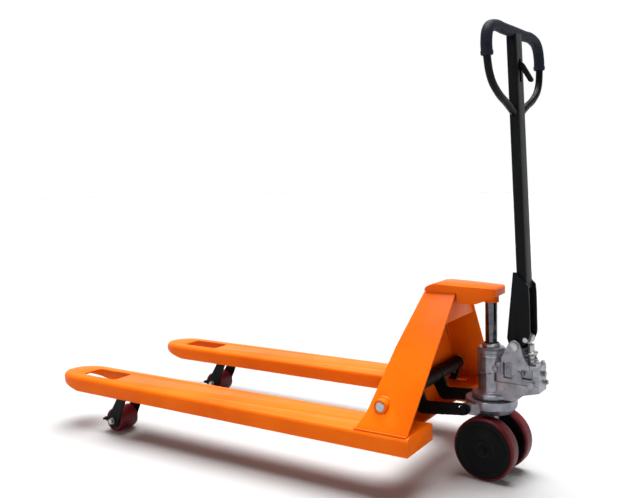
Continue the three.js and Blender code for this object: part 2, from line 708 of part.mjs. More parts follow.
function plungerSpring() {
  const wire = 1.7;
  const radius = CAP_RADIUS - wire - 1.5;
  const low = WELL_FLOOR + wire + GAP;
  const high = CAP_TOP - CAP_THICKNESS - wire - GAP;
  const turns = 5;
  const stepsPerTurn = 8;
  const points = [];
  for (let i = 0; i <= turns * stepsPerTurn; i += 1) {
    const angle = (i / stepsPerTurn) * 2 * Math.PI;
    const height = low + ((high - low) * i) / (turns * stepsPerTurn);
    points.push(new THREE.Vector3(
      PLUNGER_X + radius * Math.cos(angle), radius * Math.sin(angle), height,
    ));
  }
  const section = new THREE.Shape().absarc(0, 0, wire, 0, 2 * Math.PI, false);
  const extrudePath = new THREE.CatmullRomCurve3(points);
  const steps = turns * stepsPerTurn;
  return solid(new THREE.ExtrudeGeometry(section, { extrudePath, steps, curveSegments: 3 }));
}

function pumpPlunger() {
  const capLow = CAP_TOP - CAP_THICKNESS;
  const capBody = turned([
    [0, capLow], [CAP_RADIUS, capLow], [CAP_RADIUS, CAP_TOP - 2], [CAP_RADIUS - 2, CAP_TOP],
    [PLUNGER_RADIUS, CAP_TOP], [PLUNGER_RADIUS, TAPPET_TOP - 1], [PLUNGER_RADIUS - 1, TAPPET_TOP],
    [0, TAPPET_TOP],
  ], 'z');
  return assembly([
    part('plunger', upright(PLUNGER_RADIUS, 296, capLow - GAP, 0, 0, 24), STEEL),
    part('plunger_cap', capBody, STEEL),
  ], PLUNGER_X);
}

function valveArm() {
  const outline = link(VALVE_X, VALVE_Z, 10, 70, 356, 7);
  const plate = sideways(outline, LUG_OUTER + 0.5, LUG_OUTER + 6);
  return join(plate, crosswise(VALVE_RADIUS, 16, LUG_OUTER + 8, VALVE_X, VALVE_Z, 12));
}

function pivotPin() {
  return join(
    crosswise(PIVOT_RADIUS, -44, 44, PIVOT_X, PIVOT_Z),
    crosswise(12, -46, -LUG_OUTER - GAP, PIVOT_X, PIVOT_Z),
  );
}

// ---------- steering wheels ----------
function wheelHub() {
  return turned([
    [BEARING_RADIUS + GAP, -21], [31, -21], [36, -13], [57, -13], [62, -23],
    [HUB_RADIUS - GAP, -23], [HUB_RADIUS - GAP, 23], [62, 23], [57, 13], [36, 13], [31, 21],
    [BEARING_RADIUS + GAP, 21],
  ], 'y', 24);
}

function wheelTyre() {
  const half = WHEEL_WIDTH / 2;
  return turned([
    [HUB_RADIUS, 2 - half], [WHEEL_RADIUS - 5, -half], [WHEEL_RADIUS, 5 - half],
    [WHEEL_RADIUS, half - 5], [WHEEL_RADIUS - 5, half], [HUB_RADIUS, half - 2],
  ], 'y', 24);
}

function wheelBearing() {
  const inner = AXLE_RADIUS + GAP;
  return turned([
    [inner, -21], [13, -21], [15, -19.5], [17, -21], [BEARING_RADIUS, -21],
    [BEARING_RADIUS, 21], [17, 21], [15, 19.5], [13, 21], [inner, 21],
  ], 'y', 14);
}

function steeringWheel(side, sign) {
  return assembly([
    part(`steer_hub_${side}`, wheelHub(), BLACK),
    part(`steer_tyre_${side}`, wheelTyre(), RED_TYRE),
    part(`steer_bearing_${side}`, wheelBearing(), STEEL),
  ], WHEEL_TRAIL, sign * WHEEL_Y, WHEEL_RADIUS);
}

function steeringAxle() {
  const end = WHEEL_Y + 22;
  return bothWays(join(
    crosswise(AXLE_RADIUS, 0, end + 3),
    crosswise(15, end, end + 2),
  ));
}

// ---------- handle ----------
function handleBase() {
  const inner = COLUMN_WIDTH / 2 + 0.5;
  const outer = inner + 5.5;
  const cheek = new THREE.Shape();
  cheek.moveTo(59, 408);
  cheek.lineTo(76, 592);
  cheek.lineTo(84, 592);
  cheek.lineTo(119, 556);
  cheek.quadraticCurveTo(122, 540, 124, 424);
  cheek.quadraticCurveTo(123, 408, 110, 396);
  cheek.absarc(PIVOT_X, PIVOT_Z, 18, 0, -Math.PI, true);
  const web = polygon([[61, 430], [75.6, 588], [80.6, 588], [66, 430]]);
  return cut(
    join(bothWays(sideways(cheek, inner, outer)), sideways(web, -inner - 1, inner + 1)),
    crosswise(PIVOT_RADIUS + GAP, -FAR, FAR, PIVOT_X, PIVOT_Z),
    crosswise(HANDLE_ROLLER_PIN + GAP, -FAR, FAR, HANDLE_ROLLER_X, HANDLE_ROLLER_Z, 20),
  );
}

const HANDLE_ROLLER_Z = TAPPET_TOP + GAP + HANDLE_ROLLER_RADIUS;

function handleRoller() {
  const bore = HANDLE_ROLLER_PIN + GAP;
  return [
    part('handle_roller', ring(bore, HANDLE_ROLLER_RADIUS, -11, 11, 'y', 28), STEEL),
    part('handle_roller_pin', crosswise(HANDLE_ROLLER_PIN, -33, 33, 0, 0, 20), STEEL),
  ];
}

// Centre line of the loop, in the plane of the column.
function loopPath() {
  const left = [
    [12, 415], [69, 442], [130, 468], [172, 502], [189, 550], [190, 590], [176, 624],
    [138, 639], [70, BAR_HEIGHT],
  ];
  const half = left.map(([y, h]) => new THREE.Vector3(0, -y, h));
  const rest = left.map(([y, h]) => new THREE.Vector3(0, y, h)).reverse();
  return new THREE.CatmullRomCurve3([...half, ...rest], false, 'centripetal');
}

function alongLoop(radius, sides) {
  const section = new THREE.Shape().absarc(0, 0, radius, 0, 2 * Math.PI, false);
  return solid(new THREE.ExtrudeGeometry(section, {
    extrudePath: loopPath(),
    steps: 30,
    curveSegments: sides,
  }));
}

function columnSection(inset) {
  const x = COLUMN_DEPTH / 2 - inset;
  const y = COLUMN_WIDTH / 2 - inset;
  return roundedBox(-x, -y, x, y, 6 - inset);
}

function columnTube() {
  const outside = raised(columnSection(0), COLUMN_FOOT, BAR_HEIGHT);
  const hollow = raised(columnSection(COLUMN_WALL), COLUMN_FOOT - 10, BAR_HEIGHT - 24);
  return cut(
    outside,
    hollow,
    alongLoop(GRIP_RADIUS + GAP, 4).intersect(block(-FAR, -FAR, GRIP_END, FAR, FAR, FAR)),
    alongLoop(LOOP_RADIUS + GAP, 4),
    block(5, -7, LEVER_HEIGHT - 48, FAR, 7, LEVER_HEIGHT + 14),
    crosswise(LEVER_PIN_RADIUS + GAP, -FAR, FAR, LEVER_X, LEVER_HEIGHT, 16),
  );
}

function handleLoop() {
  const column = raised(columnSection(-GAP), COLUMN_FOOT, BAR_HEIGHT - 20);
  return alongLoop(LOOP_RADIUS, 4).subtract(column);
}

function handleGrip() {
  const upper = block(-FAR, -FAR, GRIP_END, FAR, FAR, FAR);
  return cut(alongLoop(GRIP_RADIUS, 4).intersect(upper), alongLoop(LOOP_RADIUS + GAP, 4));
}

function releaseLever() {
  const finger = new THREE.Shape();
  finger.moveTo(-7, -5);
  finger.quadraticCurveTo(8, -8, 14, -16);
  finger.lineTo(33, -50);
  finger.absarc(38, -47, 6, -2.6, 0.5, false);
  finger.lineTo(22, -4);
  finger.quadraticCurveTo(16, 7, 4, 8);
  finger.lineTo(-7, 5);
  const hole = crosswise(LEVER_PIN_RADIUS + GAP, -FAR, FAR, 0, 0, 16);
  return sideways(finger, -6, 6).subtract(hole);
}

function handleColumn() {
  const lever = assembly([
    part('release_lever', releaseLever(), BLACK),
    part('lever_pin', crosswise(LEVER_PIN_RADIUS, -24, 24, 0, 0, 16), STEEL),
  ], LEVER_X, 0, LEVER_HEIGHT);
  const rod = upright(ROD_RADIUS, ROD_FOOT, LEVER_HEIGHT - 8, ROD_X, 0, 12);
  const column = assembly([
    part('handle_column', columnTube(), BLACK),
    part('handle_loop', handleLoop(), BLACK),
    part('handle_grip', handleGrip(), RUBBER),
    part('release_rod', rod, STEEL),
    lever,
  ], COLUMN_X, 0, COLUMN_Z);
  column.rotation.y = COLUMN_LEAN;
  return column;
}

// Everything that turns with the handle, about the ram.
function steering() {
  const turning = assembly([
    part('pump_body', pumpCasting(), CASTING),
    ...ramGland(),
    part('thrust_rollers', thrustRollers(), STEEL),
    part('upper_race', ring(
      RACE_INNER, RACE_OUTER, UPPER_RACE_Z, UPPER_RACE_Z + RACE_THICKNESS, 'z',
    ), STEEL),
    part('plunger_spring', plungerSpring(), STEEL),
    pumpPlunger(),
    part('valve_arm', valveArm(), STEEL),
    part('handle_pivot_pin', pivotPin(), STEEL),
    assembly([part('steer_axle', steeringAxle(), STEEL)], WHEEL_TRAIL, 0, WHEEL_RADIUS),
    ...SIDES.map(([side, sign]) => steeringWheel(side, sign)),
    part('handle_base', handleBase(), BLACK),
    assembly(handleRoller(), HANDLE_ROLLER_X, 0, HANDLE_ROLLER_Z),
    handleColumn(),
  ], STEER_X);
  turning.rotation.z = STEER_TURN;
  return turning;
}

// ---------- whole truck ----------
const group = assembly([
  ...SIDES.map(([side, sign]) => fork(side, sign)),
  ...SIDES.map(([side, sign]) => sidePlate(side, sign)),
  bulkhead(),
  apron(),
  head(),
  ramSocket(),
  pistonRod(),
  ...SIDES.map(([side, sign]) => rockerBoss(side, sign)),
  rocker(),
  ...SIDES.map(([side, sign]) => pushRod(side, sign)),
  ...SIDES.map(([side, sign]) => loadWheel(side, sign)),
  base(),
  steering(),
]);
group.updateMatrixWorld(true);
group.position.x = -new THREE.Box3().setFromObject(group, true).getCenter(new THREE.Vector3()).x;

export default group;
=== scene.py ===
import json
import math

import bmesh
import bpy
from mathutils import Matrix, Vector


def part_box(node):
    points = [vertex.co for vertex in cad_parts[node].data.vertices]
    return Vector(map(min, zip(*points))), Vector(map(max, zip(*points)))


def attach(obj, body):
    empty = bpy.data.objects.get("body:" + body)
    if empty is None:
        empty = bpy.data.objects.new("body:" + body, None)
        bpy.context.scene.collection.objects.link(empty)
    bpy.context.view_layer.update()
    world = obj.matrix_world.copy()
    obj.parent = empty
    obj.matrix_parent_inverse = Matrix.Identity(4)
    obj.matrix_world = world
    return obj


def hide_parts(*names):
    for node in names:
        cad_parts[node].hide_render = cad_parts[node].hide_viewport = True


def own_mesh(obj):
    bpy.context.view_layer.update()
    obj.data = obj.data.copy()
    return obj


# Hand pallet truck: the looks around the CAD frame. Metres, +Z up, forks towards -X.

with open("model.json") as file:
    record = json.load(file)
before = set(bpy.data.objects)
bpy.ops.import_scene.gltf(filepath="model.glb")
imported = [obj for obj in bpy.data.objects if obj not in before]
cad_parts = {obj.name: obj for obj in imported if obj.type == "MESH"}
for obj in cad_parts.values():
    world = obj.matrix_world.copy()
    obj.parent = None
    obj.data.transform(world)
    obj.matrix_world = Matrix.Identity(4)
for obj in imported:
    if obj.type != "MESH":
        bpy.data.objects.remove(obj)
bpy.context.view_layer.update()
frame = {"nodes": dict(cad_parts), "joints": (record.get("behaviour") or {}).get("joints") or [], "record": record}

# Lengths are in millimetres, except for the floor, the lights and the camera, in metres.
NODES = frame["nodes"]
JOINTS = {joint["name"]: joint for joint in frame["joints"]}
SLOT_OF = {entry["node"]: entry["material_slot"] for entry in frame["record"]["subparts"]}
MM = 0.001
SIDES = (("left", -1), ("right", 1))
UP = (0, 0, 1)

# ---------- places taken from the frame ----------


def low(node):
    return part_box(node)[0]


def high(node):
    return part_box(node)[1]


def middle(node):
    return (low(node) + high(node)) / 2


HEEL_X = high("fork_left").x
STEER = Vector(JOINTS["steering"]["pos_m"])
CROSS = Vector(JOINTS["steer_wheel_left"]["axis"])
ALONG = Vector((CROSS.y, -CROSS.x, 0))
TURN = Matrix((ALONG, CROSS, Vector((0, 0, 1)))).transposed().to_4x4()
STEERED = Matrix.Translation((STEER.x, STEER.y, 0)) @ TURN

ROD_AXIS = Vector(JOINTS["release_rod"]["axis"]).normalized()
LEVER_PIVOT = Vector(JOINTS["release_lever"]["pos_m"])
LEVER_SIDE = CROSS.cross(ROD_AXIS)
COLUMN_TURN = Matrix((LEVER_SIDE, CROSS, ROD_AXIS)).transposed().to_4x4()
LEVER_OFFSET = Vector((4, 0, 553)) * MM          # lever pivot in the column's own frame
COLUMN = Matrix.Translation(LEVER_PIVOT) @ COLUMN_TURN @ Matrix.Translation(-LEVER_OFFSET)


def heel(x, y, z):
    """A point of the fork frame in millimetres from the forks' heel."""
    return Vector((HEEL_X + x * MM, y * MM, z * MM))


def steered(x, y, z):
    """A point of the pump, in millimetres behind the steering axis."""
    return STEERED @ (Vector((x, y, z)) * MM)


def on_column(x, y, z):
    """A point of the handle column, in millimetres from the column's foot point."""
    return COLUMN @ (Vector((x, y, z)) * MM)


# ---------- materials ----------


class Shader:
    """A small helper that adds nodes and links to one material."""

    def __init__(self, name):
        self.material = bpy.data.materials.new(name)
        self.material.use_nodes = True
        self.tree = self.material.node_tree
        self.base = self.tree.nodes["Principled BSDF"]
        self.place = self.tree.nodes.new("ShaderNodeTexCoord")

    def node(self, kind, **values):
        made = self.tree.nodes.new(kind)
        for key, value in values.items():
            setattr(made, key, value)
        return made

    def link(self, source, target):
        self.tree.links.new(source, target)

    def stretched(self, scale):
        mapping = self.node("ShaderNodeMapping")
        mapping.inputs["Scale"].default_value = scale
        self.link(self.place.outputs["Object"], mapping.inputs["Vector"])
        return mapping.outputs["Vector"]

    def noise(self, scale, detail=4, stretch=(1, 1, 1), rough=0.55):
        noise = self.node("ShaderNodeTexNoise")
        noise.inputs["Scale"].default_value = scale
        noise.inputs["Detail"].default_value = detail
        noise.inputs["Roughness"].default_value = rough
        self.link(self.stretched(stretch), noise.inputs["Vector"])
        return noise.outputs["Fac"]

    def pits(self, scale):
        cells = self.node("ShaderNodeTexVoronoi", feature="SMOOTH_F1")
        cells.inputs["Scale"].default_value = scale
        self.link(self.place.outputs["Object"], cells.inputs["Vector"])
        return cells.outputs["Distance"]

    def steps(self, value, stops):
        ramp = self.node("ShaderNodeValToRGB")
        points = ramp.color_ramp.elements
        while len(points) < len(stops):
            points.new(0.5)
        for point, (position, color) in zip(points, stops):
            point.position = position
            point.color = (*color, 1)
        self.link(value, ramp.inputs["Fac"])
        return ramp.outputs["Color"]

    def mixed(self, factor, first, second):
        mix = self.node("ShaderNodeMix", data_type="RGBA")
        self.link(factor, mix.inputs[0])
        self.link(first, mix.inputs[6])
        self.link(second, mix.inputs[7])
        return mix.outputs[2]

    def ranged(self, value, low_value, high_value):
        spread = self.node("ShaderNodeMapRange")
        spread.inputs["To Min"].default_value = low_value
        spread.inputs["To Max"].default_value = high_value
        self.link(value, spread.inputs["Value"])
        return spread.outputs["Result"]

    def bump(self, height, strength, distance, under=None):
        bump = self.node("ShaderNodeBump")
        bump.inputs["Strength"].default_value = strength
        bump.inputs["Distance"].default_value = distance
        self.link(height, bump.inputs["Height"])
        if under:
            self.link(under, bump.inputs["Normal"])
        return bump.outputs["Normal"]

    def finish(self, color, roughness, normal, metallic=0.0, specular=0.5):
        self.link(color, self.base.inputs["Base Color"])
        self.link(roughness, self.base.inputs["Roughness"])
        self.link(normal, self.base.inputs["Normal"])
        self.base.inputs["Metallic"].default_value = metallic
        self.base.inputs["Specular IOR Level"].default_value = specular
        return self.material


def grey(value):
    return (value, value, value)


def orange_paint():
    s = Shader("orange_paint")
    tone = s.steps(s.noise(3.0, 3), [
        (0.35, (0.72, 0.100, 0.001)), (0.5, (0.80, 0.122, 0.001)), (0.65, (0.86, 0.142, 0.002)),
    ])
    dust = s.steps(s.noise(38.0, 8, (1, 1, 0.35)), [(0.60, grey(0)), (0.78, grey(0.22))])
    dusty = s.steps(s.noise(120.0, 2), [(0.0, (0.66, 0.10, 0.006)), (1.0, (0.74, 0.14, 0.015))])
    color = s.mixed(dust, tone, dusty)
    rough = s.ranged(s.noise(14.0, 5), 0.28, 0.46)
    peel = s.bump(s.noise(420.0, 2), 0.10, 0.0006)
    waves = s.bump(s.noise(9.0, 2), 0.10, 0.004, peel)
    return s.finish(color, rough, waves, specular=0.07)


def black_paint():
    s = Shader("black_paint")
    tone = s.steps(s.noise(22.0, 6, (1, 1, 0.3)), [
        (0.3, (0.0024, 0.0028, 0.0034)), (0.6, (0.004, 0.0046, 0.0056)),
        (0.8, (0.007, 0.0078, 0.009)),
    ])
    scuffs = s.steps(s.noise(90.0, 9, (0.4, 1, 0.12)), [(0.66, grey(0)), (0.74, grey(0.3))])
    worn = s.steps(s.noise(200.0, 2), [(0.0, grey(0.012)), (1.0, grey(0.028))])
    color = s.mixed(scuffs, tone, worn)
    rough = s.ranged(s.noise(30.0, 5), 0.30, 0.50)
    texture = s.bump(s.pits(650.0), 0.12, 0.0004)
    return s.finish(color, rough, texture, specular=0.09)


def black_iron():
    s = Shader("black_iron")
    tone = s.steps(s.noise(30.0, 7), [
        (0.3, (0.002, 0.002, 0.0024)), (0.6, (0.005, 0.0046, 0.0045)), (0.8, (0.012, 0.0105, 0.010)),
    ])
    rough = s.ranged(s.noise(45.0, 5), 0.42, 0.68)
    coarse = s.bump(s.noise(160.0, 6), 0.25, 0.0012)
    fine = s.bump(s.pits(480.0), 0.15, 0.0004, coarse)
    return s.finish(tone, rough, fine, specular=0.11)


def casting():
    s = Shader("casting")
    tone = s.steps(s.noise(26.0, 7), [
        (0.28, (0.16, 0.162, 0.185)), (0.5, (0.26, 0.265, 0.30)), (0.72, (0.36, 0.365, 0.40)),
    ])
    grime = s.steps(s.noise(70.0, 9), [(0.55, grey(0)), (0.72, grey(0.5))])
    dark = s.steps(s.noise(150.0, 3), [(0.0, (0.06, 0.058, 0.062)), (1.0, (0.12, 0.115, 0.12))])
    color = s.mixed(grime, tone, dark)
    rough = s.ranged(s.noise(60.0, 6), 0.24, 0.42)
    sand = s.bump(s.noise(520.0, 5), 0.35, 0.0007)
    lumps = s.bump(s.noise(48.0, 3), 0.22, 0.003, sand)
    return s.finish(color, rough, lumps, metallic=0.85)


def bright_steel():
    s = Shader("bright_steel")
    tone = s.steps(s.noise(80.0, 6), [
        (0.3, (0.30, 0.31, 0.33)), (0.5, (0.42, 0.42, 0.44)), (0.7, (0.52, 0.50, 0.45)),
    ])
    rough = s.ranged(s.noise(240.0, 4, (1, 6, 1)), 0.20, 0.42)
    turned = s.bump(s.noise(700.0, 3, (1, 8, 1)), 0.08, 0.0003)
    return s.finish(tone, rough, turned, metallic=1.0)


def chrome_rod():
    s = Shader("chrome_rod")
    tone = s.steps(s.noise(30.0, 5, (1, 1, 4)), [
        (0.35, (0.075, 0.074, 0.082)), (0.65, (0.14, 0.14, 0.15)),
    ])
    rough = s.ranged(s.noise(160.0, 4, (1, 1, 12)), 0.10, 0.24)
    ground = s.bump(s.noise(600.0, 2, (1, 1, 14)), 0.05, 0.0002)
    return s.finish(tone, rough, ground, metallic=1.0)


def red_polyurethane():
    s = Shader("red_polyurethane")
    tone = s.steps(s.noise(18.0, 5), [
        (0.3, (0.070, 0.002, 0.005)), (0.55, (0.11, 0.004, 0.008)), (0.75, (0.15, 0.008, 0.012)),
    ])
    marks = s.steps(s.noise(140.0, 9, (1, 0.25, 1)), [(0.50, grey(0)), (0.70, grey(0.55))])
    dusty = s.steps(s.noise(60.0, 2), [(0.0, (0.020, 0.009, 0.007)), (1.0, (0.045, 0.020, 0.016))])
    color = s.mixed(marks, tone, dusty)
    rough = s.ranged(s.noise(50.0, 5), 0.26, 0.50)
    skin = s.bump(s.noise(300.0, 4), 0.12, 0.0006)
    return s.finish(color, rough, skin, specular=0.16)


def grip_rubber():
    s = Shader("grip_rubber")
    tone = s.steps(s.noise(35.0, 6), [
        (0.3, (0.005, 0.0066, 0.012)), (0.6, (0.009, 0.012, 0.021)), (0.8, (0.015, 0.019, 0.033)),
    ])
    rough = s.ranged(s.noise(60.0, 4), 0.55, 0.78)
    grain = s.bump(s.pits(900.0), 0.30, 0.0005)
    return s.finish(tone, rough, grain, specular=0.15)


LOOKS = {
    make.__name__: make()
    for make in (
        orange_paint, black_paint, black_iron, casting, bright_steel, chrome_rod,
        red_polyurethane, grip_rubber,
    )
}

# ---------- shapes, each a bmesh in the frame of the part ----------

SAME_POINT = 1e-6                 # metres
WASHER_HEIGHT = 1.6
WASHER_REACH = 0.62               # washer radius and head height, per size across flats
SHARP_DEGREES = 38                # edges of a made piece that stay sharp


def facing(axis):
    """The turn that carries +Z onto axis."""
    return Vector((0, 0, 1)).rotation_difference(Vector(axis)).to_matrix().to_4x4()


def rounded(profile, radius, steps=4):
    """The profile's corners rounded, where a corner is a point with a third value of 1."""
    result = []
    count = len(profile)
    for i, point in enumerate(profile):
        here = Vector(point[:2])
        if len(point) == 2:
            result.append(here)
            continue
        before = Vector(profile[i - 1][:2]) - here
        after = Vector(profile[(i + 1) % count][:2]) - here
        reach = min(radius, 0.45 * before.length, 0.45 * after.length)
        start = here + before.normalized() * reach
        end = here + after.normalized() * reach
        for step in range(steps + 1):
            t = step / steps
            result.append(start * (1 - t) ** 2 + here * 2 * t * (1 - t) + end * t ** 2)
    return result


def lathe(profile, centre, axis, radius=1.0, segments=72, closed=True):
    """A turned piece: (distance from the axis, distance along it) in millimetres."""
    points = rounded(profile, radius)
    shape = bmesh.new()
    verts = [shape.verts.new((p.x * MM, 0, p.y * MM)) for p in points]
    edges = [shape.edges.new(pair) for pair in zip(verts, verts[1:])]
    if closed:
        edges.append(shape.edges.new((verts[-1], verts[0])))
    bmesh.ops.spin(
        shape, geom=verts + edges, axis=(0, 0, 1), cent=(0, 0, 0), steps=segments,
        angle=2 * math.pi,
    )
    bmesh.ops.remove_doubles(shape, verts=shape.verts, dist=SAME_POINT)
    bmesh.ops.transform(
        shape, matrix=Matrix.Translation(centre) @ facing(axis), verts=shape.verts,
    )
    return shape


def disc(radius, height, centre, axis, corner=0.8, segments=32):
    """A solid disc that starts at centre and stands along axis."""
    profile = [(0, 0), (radius, 0), (radius, height, 1), (0, height)]
    return lathe(profile, centre, axis, corner, segments, closed=False)


def hexagon(across, height, centre, axis):
    """A chamfered bolt head or nut."""
    shape = bmesh.new()
    corner = across / math.sqrt(3) * MM
    bmesh.ops.create_cone(
        shape, cap_ends=True, segments=6, radius1=corner, radius2=corner, depth=height * MM,
    )
    bmesh.ops.translate(shape, vec=(0, 0, height * MM / 2), verts=shape.verts)
    bmesh.ops.bevel(
        shape, geom=shape.edges[:], offset=0.06 * across * MM, segments=2, affect="EDGES",
    )
    bmesh.ops.transform(
        shape, matrix=Matrix.Translation(centre) @ facing(axis), verts=shape.verts,
    )
    return shape


def bolt(across, centre, axis):
    """A hexagon head on its washer."""
    axis = Vector(axis).normalized()
    washer = disc(WASHER_REACH * across, WASHER_HEIGHT, centre, axis, 0.4)
    seat = Vector(centre) + axis * WASHER_HEIGHT * MM
    head = hexagon(across, WASHER_REACH * across, seat, axis)
    return [washer, head]


def curved(points, radius, rounds=6, sizes=None, smooth=True):
    """A round bar along points, as a bmesh."""
    curve = bpy.data.curves.new("bar", "CURVE")
    curve.dimensions = "3D"
    curve.bevel_depth = radius * MM
    curve.bevel_resolution = rounds
    curve.resolution_u = 10
    curve.use_fill_caps = True
    spline = curve.splines.new("BEZIER" if smooth else "POLY")
    knots = spline.bezier_points if smooth else spline.points
    knots.add(len(points) - 1)
    for i, (knot, point) in enumerate(zip(knots, points)):
        if smooth:
            knot.co = point
            knot.handle_left_type = "AUTO"
            knot.handle_right_type = "AUTO"
        else:
            knot.co = (*point, 1)
        knot.radius = sizes[i] if sizes else 1.0
    bar = bpy.data.objects.new("bar", curve)
    bpy.context.scene.collection.objects.link(bar)
    bpy.context.view_layer.update()
    made = bpy.data.meshes.new_from_object(bar)
    shape = bmesh.new()
    shape.from_mesh(made)
    bmesh.ops.remove_doubles(shape, verts=shape.verts, dist=SAME_POINT)
    bpy.data.objects.remove(bar)
    bpy.data.curves.remove(curve)
    bpy.data.meshes.remove(made)
    return shape


def weld(start, end, radius=3.0, ripple=4.0):
    """A rippled weld bead from start to end."""
    start = Vector(start)
    end = Vector(end)
    count = max(4, int((end - start).length / (ripple * MM)) * 2)
    points = [start.lerp(end, i / count) for i in range(count + 1)]
    sizes = [(1.0 if i % 2 else 0.86) for i in range(count + 1)]
    return curved(points, radius, 2, sizes, smooth=False)


def piece(name, body, look, *shapes):
    """One object from the shapes, with its look, riding on a body."""
    whole = bmesh.new()
    for shape in shapes:
        part = bpy.data.meshes.new(name)
        shape.to_mesh(part)
        shape.free()
        whole.from_mesh(part)
        bpy.data.meshes.remove(part)
    bmesh.ops.recalc_face_normals(whole, faces=whole.faces)
    mesh = bpy.data.meshes.new(name)
    whole.to_mesh(mesh)
    whole.free()
    mesh.shade_smooth()
    mesh.set_sharp_from_angle(angle=math.radians(SHARP_DEGREES))
    mesh.materials.append(LOOKS[look])
    made = bpy.data.objects.new(name, mesh)
    bpy.context.scene.collection.objects.link(made)
    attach(made, body)
    return made


# ---------- the CAD nodes' own surfaces ----------


def node_tree(name):
    tree = bpy.data.node_groups.new(name, "GeometryNodeTree")
    tree.interface.new_socket("Geometry", in_out="INPUT", socket_type="NodeSocketGeometry")
    tree.interface.new_socket("Geometry", in_out="OUTPUT", socket_type="NodeSocketGeometry")
    return tree, tree.nodes.new("NodeGroupInput"), tree.nodes.new("NodeGroupOutput")


def merging():
    """Joins the loaded triangles' corners and drops their stored normals."""
    tree, start, end = node_tree("merge_corners")
    merge = tree.nodes.new("GeometryNodeMergeByDistance")
    merge.inputs["Distance"].default_value = 2e-6
    plain = tree.nodes.new("GeometryNodeRemoveAttribute")
    plain.inputs["Name"].default_value = "custom_normal"
    tree.links.new(start.outputs[0], merge.inputs["Geometry"])
    tree.links.new(merge.outputs["Geometry"], plain.inputs["Geometry"])
    tree.links.new(plain.outputs["Geometry"], end.inputs[0])
    return tree


def smoothing(angle):
    """Smooth shading that keeps edges sharper than the angle."""
    tree, start, end = node_tree("smooth_by_angle")
    edge_angle = tree.nodes.new("GeometryNodeInputMeshEdgeAngle")
    sharp = tree.nodes.new("FunctionNodeCompare")
    sharp.data_type = "FLOAT"
    sharp.operation = "GREATER_THAN"
    sharp.inputs[1].default_value = math.radians(angle)
    faces = tree.nodes.new("GeometryNodeSetShadeSmooth")
    faces.domain = "FACE"
    edges = tree.nodes.new("GeometryNodeSetShadeSmooth")
    edges.domain = "EDGE"
    edges.inputs["Shade Smooth"].default_value = False
    tree.links.new(edge_angle.outputs[0], sharp.inputs[0])
    tree.links.new(start.outputs[0], faces.inputs["Geometry"])
    tree.links.new(faces.outputs["Geometry"], edges.inputs["Geometry"])
    tree.links.new(sharp.outputs[0], edges.inputs["Selection"])
    tree.links.new(edges.outputs["Geometry"], end.inputs[0])
    return tree


MERGE = merging()
SMOOTH = smoothing(32)            # degrees
BEVEL_WIDTH = 0.8
BEVEL_DEGREES = 40                # rounded edges are sharper than this
SKIN_SMOOTHING = 5                # rounds of smoothing over a cast skin
CAST_NODES = {                    # size of the cast skin's cells, in millimetres
    "pump_body": 1.3,
    "thrust_plate": 1.5,
    "rocker_arm": 2.2,
    "wheel_bracket_left": 1.6,
    "wheel_bracket_right": 1.6,
}
BEVELS = {                        # where the edge rounding isn't BEVEL_WIDTH
    "fork_left": 0.6,
    "fork_right": 0.6,
    "side_plate_left": 1.2,
    "side_plate_right": 1.2,
    "head_cover": 1.4,
    "handle_base": 1.4,
    "release_lever": 1.5,
}


def dress(node, thing):
    """Gives a CAD node its material, rounded edges and smooth shading."""
    look = LOOKS[SLOT_OF[node]]
    thing.data.materials.clear()
    thing.data.materials.append(look)
    merge = thing.modifiers.new("merge", "NODES")
    merge.node_group = MERGE
    if node in CAST_NODES:
        skin = thing.modifiers.new("skin", "REMESH")
        skin.mode = "VOXEL"
        skin.voxel_size = CAST_NODES[node] * MM
        skin.use_smooth_shade = True
        soften = thing.modifiers.new("soften", "SMOOTH")
        soften.factor = 0.5
        soften.iterations = SKIN_SMOOTHING
        return
    edge = thing.modifiers.new("edge", "BEVEL")
    edge.width = BEVELS.get(node, BEVEL_WIDTH) * MM
    edge.segments = 2
    edge.limit_method = "ANGLE"
    edge.angle_limit = math.radians(BEVEL_DEGREES)
    edge.use_clamp_overlap = True
    smooth = thing.modifiers.new("smooth", "NODES")
    smooth.node_group = SMOOTH


for node_name, node_object in NODES.items():
    dress(node_name, node_object)

# ---------- wheels ----------

SEAL_FACE = 20.4                  # from the wheel's middle plane to the bearing seals
AXLE_NUT_FACE = 25.4              # to the foot of the axle nut
AXLE_TIP_FACE = 31.4
ROLLER_BOLT_FACE = 45.8           # from the load roller's middle plane
ACROSS = Vector((0, 1, 0))


def steering_wheel(side):
    """A dished hub and its polyurethane tyre."""
    body = f"steer_wheel_{side}"
    centre = Vector(JOINTS[body]["pos_m"])
    tyre = [
        (74, -20, 1), (81.5, -20, 1), (82.5, -24.2, 1), (86.5, -23.2, 1), (89.6, -17, 1),
        (90, 0), (89.6, 17, 1), (86.5, 23.2, 1), (82.5, 24.2, 1), (81.5, 20, 1), (74, 20, 1),
    ]
    hub = [
        (20.3, -21), (27, -22.4, 1), (31, -19.5, 1), (64, -20.5, 1), (68, -24, 1),
        (82.2, -24.6, 1), (81.2, -20.2, 1), (73.7, -20.2, 1), (73.7, 20.2, 1), (81.2, 20.2, 1),
        (82.2, 24.6, 1), (68, 24, 1), (64, 20.5, 1), (31, 19.5, 1), (27, 22.4, 1), (20.3, 21),
    ]
    made_tyre = piece(
        f"tyre_{side}", body, "red_polyurethane", lathe(tyre, centre, CROSS, 4, 96),
    )
    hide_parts(f"steer_tyre_{side}")
    made_hub = piece(f"hub_{side}", body, "black_paint", lathe(hub, centre, CROSS, 3, 96))
    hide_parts(f"steer_hub_{side}")
    seals = []
    for face in (-1, 1):
        at = centre + CROSS * face * SEAL_FACE * MM
        seal = [(12.3, 0), (20, 0), (20, 1.2, 1), (12.3, 1.2, 1)]
        seals.append(lathe(seal, at, CROSS * face, 0.4))
    piece(f"bearing_seal_{side}", body, "grip_rubber", *seals)


